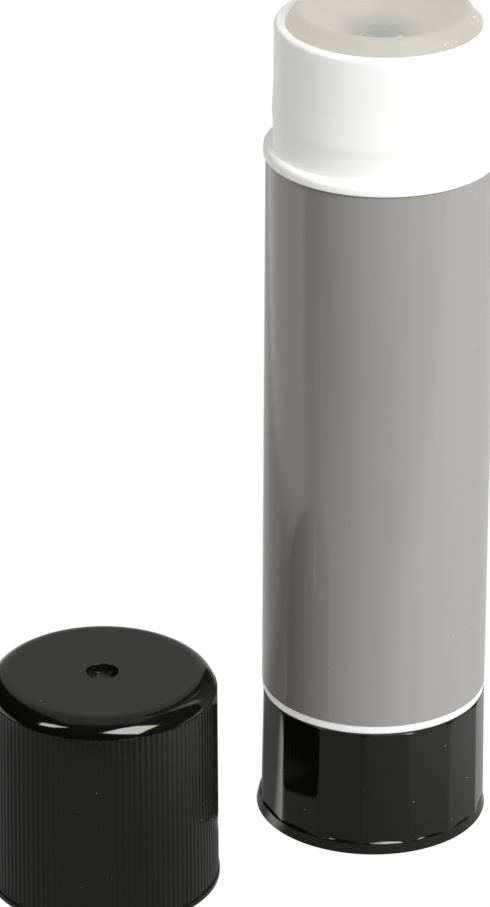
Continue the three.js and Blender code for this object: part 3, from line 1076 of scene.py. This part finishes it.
def makeFloor():
    half = studio["floorSize"] / 2
    low = -0.02 * mm  # just clear of the knob's and the cap's feet
    corners = [(-half, -half, low), (half, -half, low), (half, half, low), (-half, half, low)]
    floor = newPiece("floor", corners, [(0, 1, 2, 3)])
    material, nodes, links, shader = newMaterial("floorPaper")
    shader.inputs["Base Color"].default_value = (*studio["floorShade"], 1)
    shader.inputs["Roughness"].default_value = 0.9
    shader.inputs["Specular IOR Level"].default_value = 0.1

    def math2(operation, *values):
        return computed(nodes, links, operation, *values)

    def span(value, low, high, part):
        return ramped(nodes, links, value, low, high, *studio[part])

    # painted light and shade for reflections: gloss sees the paper as an emission painted in
    # zones, dim in front, lighter beside and behind the stick, and brightest in a painted pool of
    # light in the gap between the shadows of stick and cap
    place = nodes.new("ShaderNodeTexCoord")
    split = nodes.new("ShaderNodeSeparateXYZ")
    links.new(place.outputs["Object"], split.inputs[0])
    x, y = split.outputs["X"], split.outputs["Y"]
    across = span(x, studio["paperFront"], studio["paperRight"], "rightSide")
    level = math2("MULTIPLY", across, span(y, 0.05, 1, "frontEnd"))
    level = math2("MAXIMUM", level, span(y, 0, studio["paperBack"], "backPart"))
    left = math2("MULTIPLY", span(x, studio["paperLeft"], 0, "leftSide"), span(y, 0, 1, "leftEnd"))
    level = math2("MAXIMUM", level, left)
    slanted = nodes.new("ShaderNodeVectorMath")
    slanted.operation = "DOT_PRODUCT"
    links.new(place.outputs["Object"], slanted.inputs[0])
    slanted.inputs[1].default_value = studio["gapWay"]
    gap = span(slanted.outputs["Value"], studio["paperGap"], 0, "gapSide")
    gap = math2("MULTIPLY", gap, span(y, 0, 1, "gapFoot"))
    gap = math2("MULTIPLY", gap, span(x, 0, 1, "gapLeft"))
    gap = math2("MULTIPLY", gap, span(y, 1, 0, "gapEnd"))
    level = math2("MAXIMUM", level, gap)
    rays = nodes.new("ShaderNodeLightPath")
    direct = math2("MAXIMUM", rays.outputs["Is Camera Ray"], rays.outputs["Is Transmission Ray"])
    strength = nodes.new("ShaderNodeMix")
    links.new(rays.outputs["Is Glossy Ray"], strength.inputs["Factor"])
    strength.inputs["A"].default_value = 1.0
    links.new(level, strength.inputs["B"])
    white = nodes.new("ShaderNodeEmission")
    links.new(strength.outputs["Result"], white.inputs["Strength"])
    mix = nodes.new("ShaderNodeMixShader")
    links.new(math2("MAXIMUM", direct, rays.outputs["Is Glossy Ray"]), mix.inputs["Fac"])
    links.new(shader.outputs["BSDF"], mix.inputs[1])
    links.new(white.outputs["Emission"], mix.inputs[2])
    links.new(mix.outputs["Shader"], nodes["Material Output"].inputs["Surface"])
    paint(floor, material)


def makeWorld():
    world = bpy.data.worlds.new("studio")
    bpy.context.scene.world = world
    world.use_nodes = True
    nodes, links = world.node_tree.nodes, world.node_tree.links
    nodes.clear()
    output = nodes.new("ShaderNodeOutputWorld")
    rays = nodes.new("ShaderNodeLightPath")

    def background(strength):
        node = nodes.new("ShaderNodeBackground")
        node.inputs["Color"].default_value = (1, 1, 1, 1)
        if isinstance(strength, float):
            node.inputs["Strength"].default_value = strength
        else:
            links.new(strength, node.inputs["Strength"])
        return node.outputs["Background"]

    # what gloss shows: a pale ceiling overhead and behind, and the dark room beside it
    way = nodes.new("ShaderNodeTexCoord")
    split = nodes.new("ShaderNodeSeparateXYZ")
    links.new(way.outputs["Generated"], split.inputs[0])
    aside = computed(nodes, links, "ABSOLUTE", split.outputs["X"])
    middle = ramped(nodes, links, aside, 1, 0, *studio["ceilingSide"])
    behind = ramped(nodes, links, split.outputs["Y"], 0, 1, *studio["ceilingFront"])
    share = computed(nodes, links, "MULTIPLY", middle, behind)
    wall = ramped(nodes, links, share, studio["darkRoom"], studio["ceiling"], 0, 1)

    def mixed(amount, a, b):
        node = nodes.new("ShaderNodeMixShader")
        links.new(amount, node.inputs["Fac"])
        links.new(a, node.inputs[1])
        links.new(b, node.inputs[2])
        return node.outputs["Shader"]

    room = mixed(rays.outputs["Is Glossy Ray"], background(studio["ambient"]), background(wall))
    room = mixed(rays.outputs["Is Transmission Ray"], room, background(1.0))
    room = mixed(rays.outputs["Is Camera Ray"], room, background(1.0))
    links.new(room, output.inputs["Surface"])


makeFloor()
makeWorld()
for title, sizes in softboxes.items():
    makeSoftbox(title, *sizes)
for title, (radiance, corners) in panels.items():
    makePanel(title, radiance, corners)
bpy.context.scene.view_settings.view_transform = "Standard"
print("studio lit")
